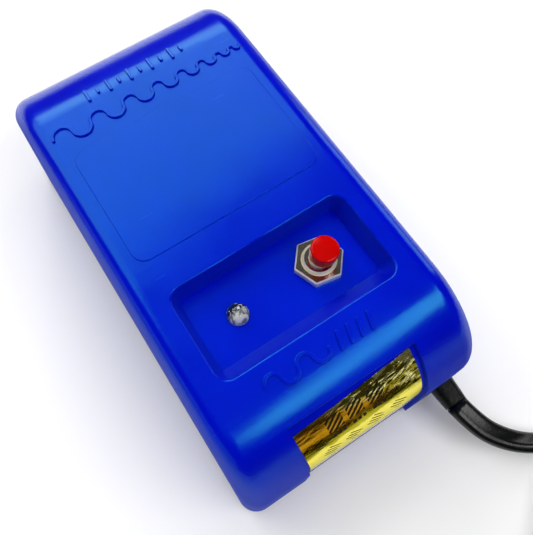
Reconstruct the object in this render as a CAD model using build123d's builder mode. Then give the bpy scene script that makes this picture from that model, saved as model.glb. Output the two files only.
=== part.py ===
from build123d import *
import os
from math import cos, pi, radians, sin, sqrt, tan

# Hand-held mains demagnetizer for watch tools: a coil on an open laminated core sits
# under the flat panel of a moulded case, and a push button in a sunk tray feeds it.
# X is across the case, -Y is the front with the label and the cord, +Z is up.
# The origin is on the table, under the middle of the case.

# ---------------------------------------------------------------- case
BODY_L = 122.4  # front to rear at the rim
BODY_W = 65.4  # across the rim
TOP_Z = 45.5  # height of the flat top above the table
RIM_Z = 1.5  # lower rim of the case; the feet fill the gap
SIDE_DRAFT = 2.4  # each side leans in by this much from rim to top
FRONT_DRAFT = 0.2
REAR_DRAFT = 2.9
FRONT_R = 20.8  # rounding from the top into the front wall
REAR_R = 21.7
EDGE_R = 4.8  # long edges and upright corners
WALL = 2.4
REBATE = 1.2  # step in the rim that holds the base cover
COVER_TOP = 3.7
COVER_GAP = 0.15

# ---------------------------------------------------------------- panel, tray, label
PANEL_W = 48.0
PANEL_L = 33.0
PANEL_Y = 10.0
PANEL_R = 3.3
PANEL_RISE = 0.2  # the working panel stands this much proud of the top
TRAY_Y = -26.6
TRAY_W = 44.8
TRAY_L = 23.0
TRAY_DEPTH = 6.0
TRAY_R = 3.3
FLOOR_W = 41.2
FLOOR_L = 18.3
FLOOR_SHIFT = 1.65  # the tray floor sits nearer the rear rim
FLOOR_R = 0.9
FLOOR_T = 2.3
LABEL_SINK = 1.1
LABEL_BAY_W = 32.0
LABEL_BAY_Y = -51.6  # top edge of the label bay
MARK_H = 0.5  # height of the raised marks
MARK_W = 0.8
MARK_ROUND = 0.18  # rounding along the upper edges of the marks and the panel

# ---------------------------------------------------------------- lamp and switch
SWITCH = (10.35, -25.1)
LAMP = (-11.2, -25.5)
TRAVEL = 1.5
BUSH_R = 3.7
BUSH_BORE = 2.1
STEM_R = 2.0
CAP_R = 3.25
CAP_H = 3.6
CAP_CROWN = 0.35  # height of the cap's domed top
CAP_SHIFT = (0.55, -0.36)  # the cap is pushed on a little off its stem
CAP_LEAN = 6.0  # and leans by this many degrees to the same side
NUT_AF = 10.4
NUT_H = 2.0
LENS_R = 2.5
LAMP_TOP = 42.4

# ---------------------------------------------------------------- core and coil
CORE_Y = 10.0
CORE_W = 42.0
CORE_H = 28.0
CORE_LEG = 7.0
CORE_MID = 14.0
CORE_TOP = 42.7
SHEETS = 20
SHEET_PITCH = 1.0
SHEET_T = 0.96
BRACKET_T = 1.0
EAR_Z = 31.0
EAR_X = 25.3

# ---------------------------------------------------------------- fasteners and feet
SCREW_X = 25.5
SCREW_Y = 36.0
BOSS_R = 3.5
PILOT_R = 1.5
SHANK_R = 1.42
FOOT_X = 24.5
FOOT_Y = 54.0
FOOT_R = 4.5

# ---------------------------------------------------------------- flat lead and plug
LEAD_W = 5.8
LEAD_T = 3.5
TUBE_R = 2.4  # plain round stand-in with about the flat lead's section
EXIT_X = 25.4
EXIT_Z = 10.5
SLEEVE_OUT = 5.6  # how far the sleeve stands out of the front wall
SLEEVE_L = 20.0
COIL_AT = (51.5, -128.5)
COIL_OUTER = 33.2  # centre line of the outermost turn
COIL_INNER = 25.0
COIL_LIFT = 0.6  # the tie passes under the coil
COIL_IN_DEG = 65.0
COIL_OUT_DEG = 225.0
PLUG_W = 24.0
PLUG_H = 12.0
PLUG_L = 22.0
PLUG_NECK = 14.0
BLADE_PITCH = 12.7
BLADE = (17.5, 1.5, 6.35)

HALF_L = BODY_L / 2
HALF_W = BODY_W / 2
TRAY_FLOOR = TOP_Z - TRAY_DEPTH
TRAY_UNDER = TRAY_FLOOR - FLOOR_T
CORE_BOTTOM = CORE_TOP - CORE_H

os.makedirs("parts", exist_ok=True)


def save(builder, label):
    """Label a finished piece and write it as one STEP file."""
    builder.part.label = label
    export_step(builder.part, f"parts/{label}.step")


def lean(amount, z):
    """How far a wall with this draft has moved inward at height z."""
    return amount * (z - RIM_Z) / (TOP_Z - RIM_Z)


def case_block(inset, low):
    """The case's outer form, shrunk by inset on every side and closed at height low."""
    high = TOP_Z - inset
    front = -HALF_L + inset
    rear = HALF_L - inset
    side = HALF_W - inset
    with BuildPart() as block:
        with BuildSketch(Plane.YZ):
            with BuildLine():
                Polyline(
                    (front + lean(FRONT_DRAFT, low), low),
                    (front + lean(FRONT_DRAFT, high), high),
                    (rear - lean(REAR_DRAFT, high), high),
                    (rear - lean(REAR_DRAFT, low), low),
                    close=True,
                )
            make_face()
            crown = vertices().group_by(Axis.Y)[-1].sort_by(Axis.X)
            fillet(crown[0], FRONT_R - inset)
            fillet(vertices().group_by(Axis.Y)[-1].sort_by(Axis.X)[-1], REAR_R - inset)
        extrude(amount=BODY_W, both=True)
        with BuildSketch(Plane.XZ):
            with BuildLine():
                Polyline(
                    (-side + lean(SIDE_DRAFT, low), low),
                    (-side + lean(SIDE_DRAFT, high), high),
                    (side - lean(SIDE_DRAFT, high), high),
                    (side - lean(SIDE_DRAFT, low), low),
                    close=True,
                )
            make_face()
        extrude(amount=BODY_L, both=True, mode=Mode.INTERSECT)
        long_edges = edges().filter_by(
            lambda edge: abs(edge.center().X) > HALF_W / 2 and edge.center().Z > low + 0.1
        )
        fillet(long_edges, EDGE_R - inset)
    return block.part


def below(solid, z):
    """The part of a solid under height z."""
    with BuildPart() as lower:
        add(solid)
        split(bisect_by=Plane.XY.offset(z), keep=Keep.BOTTOM)
    return lower.part


def tray_frustum(grow, top, bottom):
    """The tray's sloped hollow between two heights, grown sideways by grow."""
    def at(z, rim, floor):
        return rim + (floor - rim) * (TOP_Z - z) / TRAY_DEPTH

    with BuildPart() as frustum:
        for z in (top, bottom):
            with BuildSketch(Plane.XY.offset(z)):
                with Locations((0, TRAY_Y + at(z, 0, FLOOR_SHIFT))):
                    RectangleRounded(
                        at(z, TRAY_W, FLOOR_W) + 2 * grow,
                        at(z, TRAY_L, FLOOR_L) + 2 * grow,
                        at(z, TRAY_R, FLOOR_R) + grow,
                    )
        loft()
    return frustum.part


def raised_marks(cover):
    """Plain raised marks in place of wording: dying waves and rows of ticks."""
    dying = [2.5 - 0.12 * i for i in range(16)]
    steady = [1.9] * 4
    ticks = 10
    tick_pitch = 2.9
    with BuildPart() as marks:
        with BuildSketch(Plane.XY.offset(TOP_Z - 6)):
            for swings, x, y in ((dying, -25.5, 32.4), (steady, -15.4, -43.2)):
                for i, swing in enumerate(swings):
                    half_turn = CenterArc((0, 0), swing, 180 * (i % 2), 180, mode=Mode.PRIVATE)
                    with Locations((x + swing, y)):
                        SlotArc(half_turn, MARK_W)
                    x += 2 * swing
            for i in range(ticks):
                with Locations(((i - (ticks - 1) / 2) * tick_pitch, 39.8)):
                    SlotOverall(4.0 - 1.9 * (i % 2), MARK_W, rotation=90)
            for x in (2.4, 5.0, 7.6, 10.2):
                with Locations((x, -43.2)):
                    SlotOverall(4.4, MARK_W, rotation=75)
        extrude(amount=10)
        add(cover, mode=Mode.INTERSECT)
        tops = marks.faces().filter_by(lambda face: face.normal_at().Z > 0.8)
        fillet(tops.edges(), MARK_ROUND)
    return marks.part


def label_bay():
    """The shallow bay for the label: a strip of the front surface, open at the rim."""
    with BuildPart() as bay:
        with BuildSketch(Plane.XY.offset(RIM_Z - 1)):
            with Locations((0, LABEL_BAY_Y)):
                Rectangle(LABEL_BAY_W, 30, align=(Align.CENTER, Align.MAX))
            fillet(vertices().group_by(Axis.Y)[-1], 0.5)
        extrude(amount=TOP_Z)
        add(case_block(LABEL_SINK, RIM_Z - 2), mode=Mode.SUBTRACT)
    return bay.part


def inner_features(limit):
    """Bosses, the tray's underside and the lamp's sleeve, all kept inside the case."""
    with BuildPart() as inner:
        add(tray_frustum(2.2, TOP_Z - 1.2, TRAY_UNDER))
        with BuildSketch(Plane.XY.offset(COVER_TOP)):
            with GridLocations(2 * SCREW_X, 2 * SCREW_Y, 2, 2):
                Circle(BOSS_R)
        extrude(amount=TOP_Z - COVER_TOP - 2)
        with BuildSketch(Plane.XY.offset(EAR_Z)):
            with Locations((-EAR_X, CORE_Y), (EAR_X, CORE_Y)):
                Circle(2.6)
        extrude(amount=TOP_Z - EAR_Z - 1)
        with BuildSketch(Plane.XY.offset(LAMP_TOP - 7.55)):
            with Locations(LAMP):
                Circle(4.2)
        extrude(amount=4)
        add(limit, mode=Mode.INTERSECT)
    return inner.part


outer_form = case_block(0, RIM_Z)

# ================================================================ top shell
with BuildPart() as top_shell:
    add(outer_form)
    add(case_block(WALL, RIM_Z - 1), mode=Mode.SUBTRACT)
    add(inner_features(case_block(0.6, RIM_Z - 1)))
    add(tray_frustum(0, TOP_Z + 1, TRAY_FLOOR), mode=Mode.SUBTRACT)
    with BuildSketch(Plane.XY.offset(TOP_Z)):
        with Locations((0, PANEL_Y)):
            RectangleRounded(PANEL_W, PANEL_L, PANEL_R)
    extrude(amount=PANEL_RISE)
    lip = edges().filter_by(lambda edge: abs(edge.center().Z - TOP_Z - PANEL_RISE) < 0.01)
    fillet(lip, MARK_ROUND)
    rim = edges().filter_by(
        lambda edge: abs(edge.center().Z - TOP_Z) < 0.01
        and abs(edge.center().Y - TRAY_Y) < TRAY_L / 2 + 0.1
        and abs(edge.center().X) < TRAY_W / 2 + 0.1
    )
    fillet(rim, 0.5)
    add(raised_marks(case_block(-MARK_H, RIM_Z)))
    add(label_bay(), mode=Mode.SUBTRACT)
    # rebate for the base cover
    add(below(case_block(REBATE, RIM_Z - 1), COVER_TOP), mode=Mode.SUBTRACT)
    # switch hole and lamp hole through the tray floor
    with BuildSketch(Plane.XY.offset(TRAY_UNDER - 4)):
        with Locations(SWITCH):
            Circle(BUSH_R + 0.1)
        with Locations(LAMP):
            Circle(LENS_R + 0.05)
    extrude(amount=FLOOR_T + 5, mode=Mode.SUBTRACT)
    # pilot holes for the cover screws and the core screws
    with BuildSketch(Plane.XY.offset(COVER_TOP - 1)):
        with GridLocations(2 * SCREW_X, 2 * SCREW_Y, 2, 2):
            Circle(PILOT_R)
    extrude(amount=16, mode=Mode.SUBTRACT)
    with BuildSketch(Plane.XY.offset(EAR_Z - 1)):
        with Locations((-EAR_X, CORE_Y), (EAR_X, CORE_Y)):
            Circle(PILOT_R)
    extrude(amount=9, mode=Mode.SUBTRACT)
    # cord hole in the front wall
    with BuildSketch(Plane.XZ.offset(HALF_L - 6)):
        with Locations((EXIT_X, EXIT_Z)):
            SlotOverall(7.4, 5.0)
    extrude(amount=12, mode=Mode.SUBTRACT)
save(top_shell, "top_shell")

# ================================================================ base cover, screws, feet
with BuildPart() as base_cover:
    add(below(case_block(REBATE + COVER_GAP, RIM_Z), COVER_TOP - 0.02))
    with BuildSketch(Plane.XY.offset(COVER_TOP - 0.5)):
        with Locations((-12, 0), (12, 0)):
            Rectangle(1.4, 78)
    extrude(amount=3)
    with Locations(
        *[(x, y, RIM_Z) for x in (-SCREW_X, SCREW_X) for y in (-SCREW_Y, SCREW_Y)]
    ):
        Cylinder(1.6, 8, mode=Mode.SUBTRACT)
        Cone(2.9, 1.6, 1.3, align=(Align.CENTER, Align.CENTER, Align.MIN), mode=Mode.SUBTRACT)
    with BuildSketch(Plane.XY.offset(RIM_Z - 1)):
        with GridLocations(2 * FOOT_X, 2 * FOOT_Y, 2, 2):
            Circle(FOOT_R + 0.2)
    extrude(amount=2, mode=Mode.SUBTRACT)
save(base_cover, "base_cover")

with BuildPart() as cover_screw:
    with BuildSketch(Plane.XZ):
        with BuildLine():
            Polyline(
                (0, RIM_Z + 0.05),
                (2.75, RIM_Z + 0.05),
                (SHANK_R, RIM_Z + 1.3),
                (SHANK_R, RIM_Z + 12.0),
                (0, RIM_Z + 13.2),
                close=True,
            )
        make_face()
    revolve(axis=Axis.Z)
    with BuildSketch(Plane.XY.offset(RIM_Z)):
        Rectangle(3.2, 0.6)
        Rectangle(0.6, 3.2)
    extrude(amount=0.9, mode=Mode.SUBTRACT)
with BuildPart() as base_screws:
    with GridLocations(2 * SCREW_X, 2 * SCREW_Y, 2, 2):
        add(cover_screw.part)
save(base_screws, "base_screws")

with BuildPart() as rubber_feet:
    with BuildSketch():
        with GridLocations(2 * FOOT_X, 2 * FOOT_Y, 2, 2):
            Circle(FOOT_R)
    extrude(amount=RIM_Z + 0.98)
    fillet(edges().group_by(Axis.Z)[0], 0.5)
save(rubber_feet, "rubber_feet")

# ================================================================ foil label
LABEL_W = 30.4
LABEL_T = 0.12
LABEL_GLUE = 0.01
LABEL_LOW = 15.0
LABEL_HIGH = 40.25
LABEL_TILT = 2.4
with BuildPart() as foil_label:
    add(case_block(LABEL_SINK - LABEL_T, RIM_Z))
    add(case_block(LABEL_SINK - LABEL_GLUE, RIM_Z - 1), mode=Mode.SUBTRACT)
    with BuildSketch(Plane.XZ.offset(HALF_L - 15)):
        with Locations((0, (LABEL_LOW + LABEL_HIGH) / 2)):
            Rectangle(LABEL_W, LABEL_HIGH - LABEL_LOW, rotation=LABEL_TILT)
    extrude(amount=20, mode=Mode.INTERSECT)
save(foil_label, "foil_label")

# ================================================================ lamp
LAMP_FLANGE_TOP = LAMP_TOP - 7.6
with BuildPart() as led_leadframe:
    with BuildSketch(Plane.XY.offset(LAMP_FLANGE_TOP - 14)):
        with Locations((LAMP[0] - 1.27, LAMP[1]), (LAMP[0] + 1.27, LAMP[1])):
            Rectangle(0.5, 0.5)
    extrude(amount=16.5)
    # the wide post carries the cup, the narrow one ends in a small flag
    with BuildSketch(Plane.XY.offset(LAMP_FLANGE_TOP + 2.4)):
        with Locations((LAMP[0] + 0.55, LAMP[1])):
            Rectangle(2.2, 0.6)
        with Locations((LAMP[0] - 1.27, LAMP[1])):
            Rectangle(0.9, 0.6)
    extrude(amount=1.4)
    with Locations((LAMP[0] + 0.35, LAMP[1], LAMP_FLANGE_TOP + 4.1)):
        Cylinder(0.95, 0.9)
        Cone(0.3, 0.8, 0.6, mode=Mode.SUBTRACT)
save(led_leadframe, "led_leadframe")

with BuildPart() as lens_form:
    with BuildSketch(Plane.XZ):
        with BuildLine():
            Polyline(
                (0, LAMP_TOP),
                (0, LAMP_FLANGE_TOP - 1),
                (LENS_R + 0.4, LAMP_FLANGE_TOP - 1),
                (LENS_R + 0.4, LAMP_FLANGE_TOP),
                (LENS_R, LAMP_FLANGE_TOP),
                (LENS_R, LAMP_TOP - LENS_R),
            )
            RadiusArc((LENS_R, LAMP_TOP - LENS_R), (0, LAMP_TOP), -LENS_R)
        make_face()
    revolve(axis=Axis.Z)
with BuildPart() as led_lens:
    with Locations((*LAMP, 0)):
        add(lens_form.part)
    add(led_leadframe.part, mode=Mode.SUBTRACT)
save(led_lens, "led_lens")


def axial_part(x, top, length, radius, wire_end):
    """A resistor or diode on its own straight wires, standing under one lamp lead."""
    lead_end = LAMP_FLANGE_TOP - 14
    with BuildPart() as item:
        with Locations((x, LAMP[1], top - length / 2)):
            Cylinder(radius, length)
        fillet(edges().filter_by(GeomType.CIRCLE), 0.35)
        with BuildSketch(Plane.XY.offset(lead_end)):
            with Locations((x, LAMP[1])):
                Circle(0.3)
        extrude(amount=wire_end - lead_end)
    return item


LAMP_WIRE_Z = 9.5
save(axial_part(LAMP[0] - 1.27, 18.6, 6.4, 1.2, LAMP_WIRE_Z), "led_resistor")
save(axial_part(LAMP[0] + 1.27, 17.0, 5.0, 1.2, LAMP_WIRE_Z), "led_diode")

# ================================================================ push switch
THREAD_PITCH = 0.75
COLLAR_TOP = TRAY_UNDER - 0.7
COLLAR_LOW = COLLAR_TOP - 1.8
BUSH_TOP = TRAY_FLOOR + NUT_H + 0.7
THREAD_TURNS = 6
BODY_LOW = COLLAR_LOW - 10.7
CAP_LOW = BUSH_TOP + TRAVEL + 0.45
CAP_TOP = CAP_LOW + CAP_H
FLANGE_TOP = COLLAR_LOW - 0.1
BRIDGE_LOW = BODY_LOW + 6.0
CONTACT_TOP = BRIDGE_LOW - TRAVEL - 0.05


def at_switch(solid, label):
    """Write one switch piece that was drawn about the Z axis."""
    with BuildPart() as placed:
        with Locations((*SWITCH, 0)):
            add(solid)
    save(placed, label)
    return placed.part


with BuildPart() as bushing:
    with BuildSketch(Plane.XZ):
        with BuildLine():
            thread_top = BUSH_TOP - 0.35
            crest = [(BUSH_R - 0.35, BUSH_TOP), (BUSH_R - 0.05, thread_top)]
            for i in range(THREAD_TURNS):
                z = thread_top - (i + 0.5) * THREAD_PITCH
                crest.append((BUSH_R - 0.32, z))
                crest.append((BUSH_R, z - THREAD_PITCH / 2))
            Polyline(
                (BUSH_BORE + 0.3, BUSH_TOP),
                *crest,
                (BUSH_R, COLLAR_TOP),
                (4.9, COLLAR_TOP),
                (4.9, COLLAR_LOW),
                (BUSH_BORE, COLLAR_LOW),
                (BUSH_BORE, BUSH_TOP - 0.3),
                close=True,
            )
        make_face()
    revolve(axis=Axis.Z)
switch_bushing = at_switch(bushing.part, "switch_bushing")

with BuildPart() as nut:
    with BuildSketch(Plane.XY.offset(TRAY_FLOOR)):
        RegularPolygon(NUT_AF / 2, 6, major_radius=False, rotation=-10)
    extrude(amount=NUT_H)
    fillet(edges().filter_by(Axis.Z), 0.5)
    chamfer(edges().group_by(Axis.Z)[-1], 0.32)
    with BuildSketch(Plane.XY.offset(TRAY_FLOOR)):
        Circle(BUSH_R + 0.05)
    extrude(amount=NUT_H, mode=Mode.SUBTRACT)
    chamfer(edges().filter_by(GeomType.CIRCLE).group_by(Axis.Z)[-1].sort_by(SortBy.LENGTH)[-1], 0.3)
at_switch(nut.part, "switch_nut")

with BuildPart() as washer:
    with BuildSketch(Plane.XY.offset(COLLAR_TOP)):
        Circle(5.4)
        Circle(BUSH_R + 0.15, mode=Mode.SUBTRACT)
        with PolarLocations(5.4, 12):
            Rectangle(1.2, 0.7, mode=Mode.SUBTRACT)
    extrude(amount=0.68)
at_switch(washer.part, "switch_lock_washer")

with BuildPart() as can:
    with BuildSketch(Plane.XY.offset(BODY_LOW)):
        Circle(4.8)
    extrude(amount=COLLAR_LOW - BODY_LOW)
    with BuildSketch(Plane.XY.offset(BODY_LOW + 1.5)):
        Circle(3.9)
    extrude(amount=COLLAR_LOW - BODY_LOW, mode=Mode.SUBTRACT)
    with BuildSketch(Plane.XY.offset(BODY_LOW - 1)):
        with Locations((-2.9, 0), (2.9, 0)):
            Rectangle(0.7, 2.5)
    extrude(amount=3, mode=Mode.SUBTRACT)
at_switch(can.part, "switch_body")

with BuildPart() as plunger:
    with BuildSketch(Plane.XZ):
        with BuildLine():
            Polyline(
                (0, CAP_TOP - 1.6),
                (STEM_R, CAP_TOP - 1.6),
                (STEM_R, FLANGE_TOP),
                (3.4, FLANGE_TOP),
                (3.4, FLANGE_TOP - 1.2),
                (STEM_R, FLANGE_TOP - 1.2),
                (STEM_R, BRIDGE_LOW + 0.5),
                (0, BRIDGE_LOW + 0.5),
                close=True,
            )
        make_face()
    revolve(axis=Axis.Z)
at_switch(plunger.part, "switch_plunger")

with BuildPart() as bridge:
    with BuildSketch(Plane.XY.offset(BRIDGE_LOW)):
        Circle(3.5)
    extrude(amount=0.48)
at_switch(bridge.part, "switch_contact_bridge")

SPRING_LOW = BODY_LOW + 1.52
SPRING_H = BRIDGE_LOW - 0.04 - SPRING_LOW
SPRING_WIRE = 0.2
with BuildPart() as spring:
    with BuildLine() as coil_line:
        Helix(
            (SPRING_H - 2 * SPRING_WIRE) / 5,
            SPRING_H - 2 * SPRING_WIRE,
            1.4,
            center=(0, 0, SPRING_LOW + SPRING_WIRE),
        )
    with BuildSketch(Plane(coil_line.line @ 0, z_dir=coil_line.line % 0)):
        Circle(SPRING_WIRE)
    sweep(is_frenet=True)
at_switch(spring.part, "switch_spring")

with BuildPart() as lugs:
    with BuildSketch(Plane.XY.offset(BODY_LOW - 5.5)):
        with Locations((-2.9, 0), (2.9, 0)):
            Rectangle(0.6, 2.4)
    extrude(amount=CONTACT_TOP - BODY_LOW + 5.5)
    with BuildSketch(Plane.YZ.offset(-5)):
        with Locations((0, BODY_LOW - 4.3)):
            Circle(0.55)
    extrude(amount=10, mode=Mode.SUBTRACT)
at_switch(lugs.part, "switch_terminals")

crown_r = (CAP_R**2 + CAP_CROWN**2) / (2 * CAP_CROWN)
with BuildPart() as cap_form:
    with BuildSketch(Plane.XZ):
        with BuildLine():
            Polyline((0, CAP_H), (0, 0), (CAP_R - 0.15, 0), (CAP_R, CAP_H - CAP_CROWN))
            RadiusArc((CAP_R, CAP_H - CAP_CROWN), (0, CAP_H), -crown_r)
        make_face()
        fillet(vertices().group_by(Axis.X)[-1].sort_by(Axis.Y)[-1], 0.55)
    revolve(axis=Axis.Z)

lean_sin = sin(radians(CAP_LEAN)) / sqrt(CAP_SHIFT[0] ** 2 + CAP_SHIFT[1] ** 2)
cap_plane = Plane(
    (*CAP_SHIFT, CAP_LOW),
    z_dir=(CAP_SHIFT[0] * lean_sin, CAP_SHIFT[1] * lean_sin, cos(radians(CAP_LEAN))),
)
with BuildPart() as cap:
    with Locations(cap_plane):
        add(cap_form.part)
    with BuildSketch(Plane.XY.offset(CAP_LOW - 1)):
        Circle(STEM_R + 0.02)
    extrude(amount=CAP_TOP - 1.58 - CAP_LOW + 1, mode=Mode.SUBTRACT)
at_switch(cap.part, "button_cap")

# ================================================================ core, coil and bracket
WINDOW_H = CORE_H - CORE_LEG
with BuildPart() as core_laminations:
    for i in range(SHEETS):
        y = CORE_Y + (i - SHEETS / 2) * SHEET_PITCH
        with BuildSketch(Plane.XZ.offset(-y)):
            with Locations((0, CORE_BOTTOM)):
                Rectangle(CORE_W, CORE_H, align=(Align.CENTER, Align.MIN))
            for x in (-1, 1):
                with Locations((x * (CORE_MID + CORE_LEG) / 2, CORE_TOP)):
                    Rectangle(
                        CORE_LEG, WINDOW_H, align=(Align.CENTER, Align.MAX), mode=Mode.SUBTRACT
                    )
        extrude(amount=-SHEET_T)
save(core_laminations, "core_laminations")

STACK = SHEETS * SHEET_PITCH
BOBBIN_LOW = CORE_BOTTOM + CORE_LEG + 0.2
BOBBIN_H = WINDOW_H - 0.4
WIND_LOW = BOBBIN_LOW + 1.05
WIND_H = BOBBIN_H - 2.1
WIND_W = 26.0
WIND_L = 31.6


def ring_prism(low, height, outer, outer_r, inner, inner_r):
    """An upright rectangular ring with rounded corners about the core's middle leg."""
    with BuildPart() as ring:
        with BuildSketch(Plane.XY.offset(low)):
            with Locations((0, CORE_Y)):
                RectangleRounded(*outer, outer_r)
                RectangleRounded(*inner, inner_r, mode=Mode.SUBTRACT)
        extrude(amount=height)
    return ring.part


TUBE_IN = (CORE_MID + 0.3, STACK + 0.3)
TUBE_OUT = (CORE_MID + 2.3, STACK + 2.3)
FLANGE = (27.4, STACK + 13)
with BuildPart() as coil_bobbin:
    add(ring_prism(BOBBIN_LOW, BOBBIN_H, TUBE_OUT, 0.8, TUBE_IN, 0.3))
    for z in (BOBBIN_LOW, BOBBIN_LOW + BOBBIN_H - 1):
        add(ring_prism(z, 1, FLANGE, 1.5, TUBE_IN, 0.3))
save(coil_bobbin, "coil_bobbin")

with BuildPart() as coil_winding:
    add(
        ring_prism(
            WIND_LOW, WIND_H, (WIND_W, WIND_L), 3.0, (TUBE_OUT[0] + 0.1, TUBE_OUT[1] + 0.1), 0.8
        )
    )
save(coil_winding, "coil_winding")

with BuildPart() as winding_tape:
    add(
        ring_prism(
            WIND_LOW, WIND_H, (WIND_W + 0.6, WIND_L + 0.6), 3.3, (WIND_W + 0.05, WIND_L + 0.05), 3.0
        )
    )
save(winding_tape, "winding_tape")

with BuildPart() as core_bracket:
    with BuildSketch(Plane.XZ.offset(-CORE_Y - 6)):
        half = CORE_W / 2 + 0.05
        with BuildLine():
            Polyline(
                (-EAR_X - 2.6, EAR_Z - BRACKET_T),
                (-half - BRACKET_T, EAR_Z - BRACKET_T),
                (-half - BRACKET_T, CORE_BOTTOM - 0.05 - BRACKET_T),
                (half + BRACKET_T, CORE_BOTTOM - 0.05 - BRACKET_T),
                (half + BRACKET_T, EAR_Z - BRACKET_T),
                (EAR_X + 2.6, EAR_Z - BRACKET_T),
                (EAR_X + 2.6, EAR_Z - 0.02),
                (half, EAR_Z - 0.02),
                (half, CORE_BOTTOM - 0.05),
                (-half, CORE_BOTTOM - 0.05),
                (-half, EAR_Z - 0.02),
                (-EAR_X - 2.6, EAR_Z - 0.02),
                close=True,
            )
        make_face()
    extrude(amount=12)
    with BuildSketch(Plane.XY.offset(EAR_Z - 3)):
        with Locations((-EAR_X, CORE_Y), (EAR_X, CORE_Y)):
            Circle(PILOT_R + 0.1)
    extrude(amount=5, mode=Mode.SUBTRACT)
save(core_bracket, "core_bracket")

with BuildPart() as core_screws:
    for x in (-EAR_X, EAR_X):
        with BuildSketch(Plane.XY.offset(EAR_Z - BRACKET_T - 1.82)):
            with Locations((x, CORE_Y)):
                Circle(2.5)
        extrude(amount=1.8)
        with BuildSketch(Plane.XY.offset(EAR_Z - BRACKET_T - 0.1)):
            with Locations((x, CORE_Y)):
                Circle(SHANK_R)
        extrude(amount=8)
    with BuildSketch(Plane.XY.offset(EAR_Z - BRACKET_T - 2)):
        with Locations((-EAR_X, CORE_Y), (EAR_X, CORE_Y)):
            Rectangle(3.0, 0.6)
            Rectangle(0.6, 3.0)
    extrude(amount=1.1, mode=Mode.SUBTRACT)
save(core_screws, "core_screws")

# ================================================================ inner wiring
WIRE_R = 0.9
JOINT_X = 5.0
JOINT_Y = -13.0
JOINT_Z = 9.6
JOINT_R = 2.8
JOINT_L = 14.0
CORE_OFFSET = 1.45  # half the distance between the lead's two conductors
LUG_Z = BODY_LOW - 4.3


def wire(radius, bend, *points):
    """One insulated wire: straight runs joined by bends of one radius."""
    with BuildPart() as tube:
        with BuildLine() as route:
            FilletPolyline(*points, radius=bend)
        with BuildSketch(Plane(route.line @ 0, z_dir=route.line % 0)):
            Circle(radius)
        sweep()
    return tube.part


def joint_slot(side, k):
    """Where wire k of three enters the crimped joint on this side, just inside its mouth."""
    angle = radians(90 + 120 * k)
    return (
        side * JOINT_X + 1.15 * cos(angle),
        JOINT_Y + 2.0,
        JOINT_Z + 1.15 * sin(angle),
    )


def before(point, back):
    """The point this far in front of a joint's mouth."""
    return (point[0], point[1] - back, point[2])


with BuildPart() as wire_connectors:
    with BuildSketch(Plane.XZ.offset(-JOINT_Y)):
        with Locations((-JOINT_X, JOINT_Z), (JOINT_X, JOINT_Z)):
            Circle(JOINT_R)
    extrude(amount=-JOINT_L)
    fillet(edges().group_by(Axis.Y)[-1], 1.0)
    with BuildSketch(Plane.XZ.offset(-JOINT_Y)):
        with Locations((-JOINT_X, JOINT_Z), (JOINT_X, JOINT_Z)):
            Circle(JOINT_R - 0.65)
    extrude(amount=-6, mode=Mode.SUBTRACT)
save(wire_connectors, "wire_connectors")

SLEEVE_TIP = HALF_L + SLEEVE_OUT
SLEEVE_BACK = SLEEVE_TIP - SLEEVE_L
JACKET_END = SLEEVE_BACK - 1.6
LIVE_X = EXIT_X + CORE_OFFSET
NEUTRAL_X = EXIT_X - CORE_OFFSET

with BuildPart() as live_wire:
    add(
        wire(
            WIRE_R,
            1.2,
            (LIVE_X, -JACKET_END, EXIT_Z),
            (LIVE_X, -JACKET_END + 2.4, EXIT_Z),
            (23.3, -41.5, 14.5),
            (18.0, -32.0, 18.0),
            (17.4, SWITCH[1], LUG_Z),
            (SWITCH[0] + 2.9 + 0.32, SWITCH[1], LUG_Z),
        )
    )
save(live_wire, "live_wire")

right_joint = [joint_slot(1, k) for k in range(3)]
left_joint = [joint_slot(-1, k) for k in range(3)]

with BuildPart() as neutral_wire:
    add(
        wire(
            WIRE_R,
            1.2,
            (NEUTRAL_X, -JACKET_END, EXIT_Z),
            (NEUTRAL_X, -JACKET_END + 2.4, EXIT_Z),
            (10.0, -25.0, 8.6),
            before(right_joint[2], 5.5),
            right_joint[2],
        )
    )
save(neutral_wire, "neutral_wire")

with BuildPart() as switched_wire:
    add(
        wire(
            WIRE_R,
            1.2,
            (SWITCH[0] - 2.9 - 0.32, SWITCH[1], LUG_Z),
            (4.0, SWITCH[1], LUG_Z),
            (-3.6, -21.0, 11.0),
            before(left_joint[2], 4.5),
            left_joint[2],
        )
    )
save(switched_wire, "switched_wire")

with BuildPart() as coil_lead_wires:
    for side, slot in ((1, right_joint[0]), (-1, left_joint[0])):
        add(
            wire(
                0.7,
                1.2,
                (side * 9.0, -4.0, BOBBIN_LOW - 0.02),
                (side * 9.0, -4.0, BOBBIN_LOW - 3.4),
                (slot[0], slot[1] - 7.0, slot[2] + 5.0),
                before(slot, 7.0),
                slot,
            )
        )
save(coil_lead_wires, "coil_lead_wires")

with BuildPart() as led_wires:
    add(
        wire(
            0.7,
            0.9,
            (LAMP[0] - 1.27, LAMP[1], LAMP_WIRE_Z),
            (LAMP[0] - 1.27, LAMP[1], 7.4),
            (-8.5, -19.5, 8.2),
            before(left_joint[1], 5.0),
            left_joint[1],
        )
    )
    add(
        wire(
            0.7,
            0.9,
            (LAMP[0] + 1.27, LAMP[1], LAMP_WIRE_Z),
            (LAMP[0] + 1.27, LAMP[1], 6.8),
            (-2.0, -22.0, 6.4),
            before(right_joint[1], 5.0),
            right_joint[1],
        )
    )
save(led_wires, "led_wires")

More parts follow.
